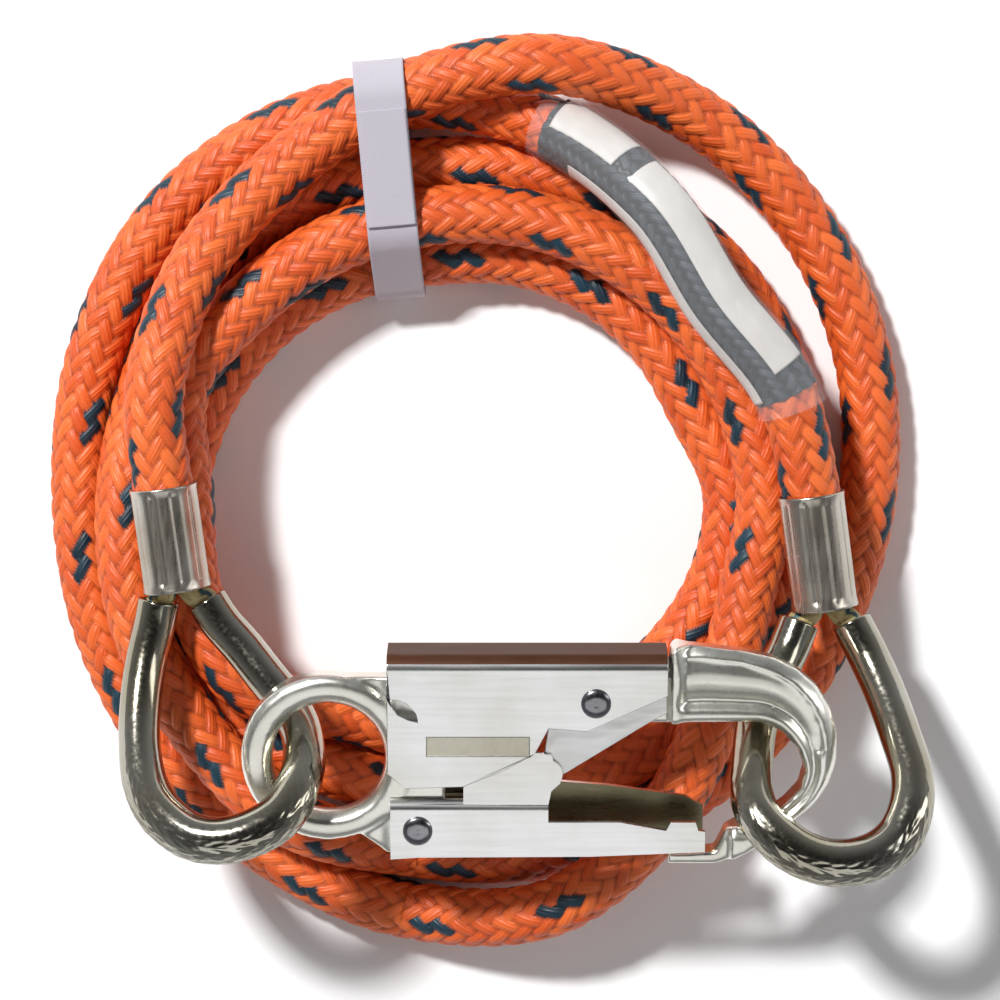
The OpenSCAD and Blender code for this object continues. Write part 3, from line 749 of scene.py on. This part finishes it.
# --- snap hook ----------------------------------------------------------------------------
def refined(name, node_name, width, body, mat):
    """A CAD pressing with its edges rounded over, width millimetres in."""
    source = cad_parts[node_name]
    mesh = source.data.copy()
    bm = bmesh.new()
    bm.from_mesh(mesh)
    bmesh.ops.remove_doubles(bm, verts=bm.verts, dist=2e-6)
    bmesh.ops.dissolve_limit(bm, angle_limit=radians(1.0), verts=bm.verts, edges=bm.edges)
    bm.to_mesh(mesh)
    bm.free()
    obj = bpy.data.objects.new(name, mesh)
    bpy.context.collection.objects.link(obj)
    obj.matrix_world = source.matrix_world.copy()
    mesh.polygons.foreach_set("use_smooth", [True] * len(mesh.polygons))
    bevel = obj.modifiers.new("rounded_edges", "BEVEL")
    bevel.width = width * MM
    bevel.segments = 3
    bevel.limit_method = "ANGLE"
    bevel.angle_limit = radians(32)
    weighted = obj.modifiers.new("flat_faces", "WEIGHTED_NORMAL")
    weighted.weight = 100
    weighted.keep_sharp = True
    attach(obj, body)
    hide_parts(node_name)
    dress(obj, mat)
    return obj


def hook_coords(points):
    """From the frame, in metres, to the hook's own axes in millimetres."""
    p = np.array(points) / MM - CENTRE - np.array([0, HOOK_Y, HOOK_Z])
    v = p[:, 1] * cos(HOOK_ROLL) + p[:, 2] * sin(HOOK_ROLL)
    w = p[:, 2] * cos(HOOK_ROLL) - p[:, 1] * sin(HOOK_ROLL)
    return np.stack([p[:, 0], v, w], axis=1)


def from_hook(points):
    """From the hook's own axes to the design's, both in millimetres."""
    p = np.array(points, float)
    y = p[:, 1] * cos(HOOK_ROLL) - p[:, 2] * sin(HOOK_ROLL)
    z = p[:, 1] * sin(HOOK_ROLL) + p[:, 2] * cos(HOOK_ROLL)
    return np.stack([p[:, 0], y + HOOK_Y, z + HOOK_Z], axis=1)


def distance_to(points, outline):
    """Distance in the hook's plane from each point to an open outline."""
    best = np.full(len(points), 1e9)
    for a, b in zip(np.array(outline[:-1], float), np.array(outline[1:], float)):
        t = np.clip(((points[:, :2] - a) @ (b - a)) / ((b - a) @ (b - a)), 0, 1)
        best = np.minimum(best, np.linalg.norm(points[:, :2] - a - t[:, None] * (b - a), axis=1))
    return best


def fade(x, low, high):
    """A smooth step from 0 to 1 while x goes from low to high."""
    t = np.clip((x - low) / (high - low), 0, 1)
    return t * t * (3 - 2 * t)


def even_forging():
    """The CAD forging in an even mesh with softened edges, and its places in the frame."""
    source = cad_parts["hook_body"]
    rough = bpy.data.objects.new("rough_forging", source.data.copy())
    bpy.context.collection.objects.link(rough)
    rough.matrix_world = source.matrix_world.copy()
    remesh = rough.modifiers.new("even_mesh", "REMESH")
    remesh.mode = "VOXEL"
    remesh.voxel_size = 0.45 * MM
    soften = rough.modifiers.new("soften", "SMOOTH")
    soften.factor = 0.5
    soften.iterations = 9
    mesh = bpy.data.meshes.new_from_object(rough.evaluated_get(bpy.context.evaluated_depsgraph_get()))
    matrix = np.array(rough.matrix_world)
    bpy.data.objects.remove(rough)
    co = np.empty(len(mesh.vertices) * 3)
    mesh.vertices.foreach_get("co", co)
    faces = [list(f.vertices) for f in mesh.polygons]
    return co.reshape(-1, 3) @ matrix[:3, :3].T + matrix[:3, 3], faces


def bend_share(p):
    """Each point's share of the full thickness over the bend: a bead, a hollow, then a full crown."""
    inner = distance_to(p, smooth_line(BEND_INNER, 6))
    outer = distance_to(p, smooth_line(BEND_OUTER, 6))
    bend = np.interp(inner / (inner + outer), BEND_SHARE, BEND_HEIGHT)
    in_bend = fade(p[:, 0], 37.0, 40.0) * fade(p[:, 1], -17.0, -12.0)
    return 1 + in_bend * (bend - 1)


def ring_share(p):
    """Each point's share of the full thickness over the eye's ring, thinner at both its edges."""
    share = np.clip((np.hypot(p[:, 0] - EYE[0], p[:, 1] - EYE[1]) - EYE_R) / RING_WIDE, 0, 1)
    ring = np.sqrt(1 - 0.5 * np.abs(2 * share - 1) ** 3.5)
    in_ring = fade(-p[:, 0], 20.0, 24.0)
    return 1 + in_ring * (ring - 1)


def make_forging(mats):
    """The forged body: soft edges, a bead along the bend's inside, a hollow beside it and a full crown."""
    world, faces = even_forging()
    p = hook_coords(world)
    p[:, 2] *= bend_share(p) * ring_share(p)
    obj = add_mesh("forged_body", from_hook(p), faces, "hook", ["hook_body"])
    polish = obj.modifiers.new("polish", "SMOOTH")
    polish.factor = 0.5
    polish.iterations = 6
    dress(obj, mats["forging"])


def make_rivet(name, node_name, place, half, mats):
    """A rivet with two domed heads, each with a shallow dimple."""
    arc = np.radians(np.linspace(0, 90, 14))
    dimple = [(0.0, 0.80), (0.5, 0.82), (0.9, 0.9)]
    dome = [(RIVET_HEAD_R * sin(a), 0.12 + 0.86 * cos(a)) for a in arc[5:]]
    head = dimple + dome + [(RIVET_HEAD_R, 0.02)]
    seat = half + RIVET_GAP
    top = [(r, seat + z) for r, z in head] + [(RIVET_SHANK_R, seat)]
    profile = top + [(r, -z) for r, z in top[::-1]]
    n = 48
    phi = 2 * pi * np.arange(n) / n
    rings = [[(place[0] + r * cos(a), place[1] + r * sin(a), z) for a in phi] for r, z in profile[1:-1]]
    crowns = [(place[0], place[1], profile[end][1]) for end in (0, -1)]
    verts = [crowns[0]] + [q for ring in rings for q in ring] + [crowns[1]]
    last = len(verts) - 1
    faces = [[1 + v for v in reversed(f)] for f in grid_faces(len(rings), n, cap=False)]
    for k in range(n):
        j = (k + 1) % n
        faces += [[0, 1 + k, 1 + j], [last, last - n + j, last - n + k]]
    dress(add_mesh(name, from_hook(verts), faces, "hook", [node_name]), mats["rivet"])


def paint(obj, mat, chosen):
    """Another material on the faces that chosen picks by middle and normal, in the hook's axes; here it
    lays on painted reflection, painted shade and a darker panel.
    """
    obj.data.materials.append(mat)
    slot = len(obj.data.materials) - 1
    turn = np.array(obj.matrix_world)
    middles = np.array([tuple(f.center) for f in obj.data.polygons]) @ turn[:3, :3].T + turn[:3, 3]
    normals = np.array([tuple(f.normal) for f in obj.data.polygons]) @ turn[:3, :3].T
    origin = hook_coords(np.zeros((1, 3)))
    facing = (hook_coords(normals) - origin) * MM
    facing /= np.linalg.norm(facing, axis=1)[:, None]
    for face, yes in zip(obj.data.polygons, chosen(hook_coords(middles), facing)):
        if yes:
            face.material_index = slot


def fill_corner(obj, old, new):
    """Moves an outline's corner, on both faces of a plate."""
    matrix = obj.matrix_world
    for vert in obj.data.vertices:
        u, v, w = hook_coords(np.array([tuple(matrix @ vert.co)]))[0]
        if math.hypot(u - old[0], v - old[1]) < 0.3:
            place = (from_hook([(new[0], new[1], w)])[0] + CENTRE) * MM
            vert.co = matrix.inverted() @ Vector(tuple(place))


def make_lever(mats):
    """The folded lever, painted dark brown on its back as a painted reflection and a darker cream on its
    front panel, and the arm it carries.
    """
    back, panel_face = 20.6, 6.4
    lever = refined("back_lever", "lever", 0.35, "lever", mats["plate"])
    # The back faces towards the spine get a painted reflection in dark brown.
    paint(lever, mats["brown"], lambda p, n: (p[:, 1] > back) & (n[:, 1] > 0.55))
    # The recessed front panel gets a darker, yellower grey.
    paint(lever, mats["aged"], lambda p, n: (np.abs(p[:, 2] - panel_face) < 0.12) & (n[:, 2] > 0.9))
    arm = refined("locking_arm", "lock_arm", 0.2, "lever", mats["arm"])
    fill_corner(arm, (17, 12), (11.4, 8.6))


def make_gate(mats):
    """The folded gate, with painted shade in dark olive on the inside of its rear plate."""
    rear_plate = -3.5
    gate = refined("folded_gate", "gate", 0.3, "gate", mats["plate"])
    # Painted shade: dark olive on the inside face of the rear plate.
    paint(gate, mats["olive"], lambda p, n: (p[:, 2] < rear_plate) & (n[:, 2] > 0.6))


def make_hook(mats):
    """The snap hook; its bushes and springs are the CAD's own, with a finish."""
    make_forging(mats)
    make_lever(mats)
    make_gate(mats)
    make_rivet("lever_rivet_heads", "lever_rivet", LEVER_PIVOT, LEVER_HALF, mats)
    make_rivet("gate_rivet_heads", "gate_rivet", GATE_PIVOT, GATE_HALF, mats)
    for name in ("lever_bush", "gate_bush"):
        dress(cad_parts[name], mats["brass"])
    for name in ("lever_spring", "gate_spring"):
        dress(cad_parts[name], mats["rivet"])


# --- studio -------------------------------------------------------------------------------
def area_light(name, place, aim, size, power):
    """A rectangular light of some watts, turned to face its aim."""
    data = bpy.data.lights.new(name, "AREA")
    data.shape = "RECTANGLE"
    data.size, data.size_y = size
    data.energy = power
    light = bpy.data.objects.new(name, data)
    bpy.context.collection.objects.link(light)
    light.location = place
    light.rotation_euler = (Vector(aim) - Vector(place)).to_track_quat("-Z", "Y").to_euler()


def make_floor(mats):
    bpy.ops.mesh.primitive_plane_add(size=6.0, location=(0, 0, 0))
    floor = bpy.context.object
    floor.name = "floor"
    dress(floor, mats["floor"])


def make_lights():
    """A small key for crisp shadows, a wide panel in front and a strip at the right."""
    area_light("key", place=(-0.75, 0.95, 1.5), aim=(0, 0, 0), size=(0.2, 0.2), power=43.0)
    area_light("panel", place=(0.0, -0.74, 1.32), aim=(0, 0, 0.02), size=(1.7, 0.7), power=3.4)
    area_light("edge", place=(1.15, 0.25, 0.7), aim=(0, 0, 0.02), size=(0.3, 1.0), power=2.6)


def make_sky():
    """A soft surround: pale at the horizon and dark overhead, for the metal to reflect."""
    world = bpy.data.worlds.new("studio")
    bpy.context.scene.world = world
    world.use_nodes = True
    tree = world.node_tree
    coords = tree.nodes.new("ShaderNodeTexCoord")
    parts = tree.nodes.new("ShaderNodeSeparateXYZ")
    tree.links.new(coords.outputs["Generated"], parts.inputs[0])
    sky = mix(tree, ramp(tree, parts.outputs["Z"], 0.15, 0.95), (0.80, 0.82, 0.85), (0.07, 0.072, 0.075))
    tree.links.new(sky, tree.nodes["Background"].inputs["Color"])
    tree.nodes["Background"].inputs["Strength"].default_value = 0.38
    bpy.context.scene.view_settings.view_transform = "Standard"


make_camera()
MATS = make_materials()
make_rope(MATS)
make_ferrule("ferrule_left", FERRULE_LEFT, MATS)
make_ferrule("ferrule_right", FERRULE_RIGHT, MATS)
make_thimble("thimble_left", THIMBLE_LEFT, MATS)
make_thimble("thimble_right", THIMBLE_RIGHT, MATS)
make_core_loop("core_loop_left", FERRULE_LEFT, THIMBLE_LEFT, MATS)
make_core_loop("core_loop_right", FERRULE_RIGHT, THIMBLE_RIGHT, MATS)
make_band(MATS)
make_closure(MATS)
make_wrap(MATS)
make_labels(MATS)
make_sleeve(MATS)
make_hook(MATS)
dress(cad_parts["rope_core"], MATS["core"])
make_floor(MATS)
make_lights()
make_sky()
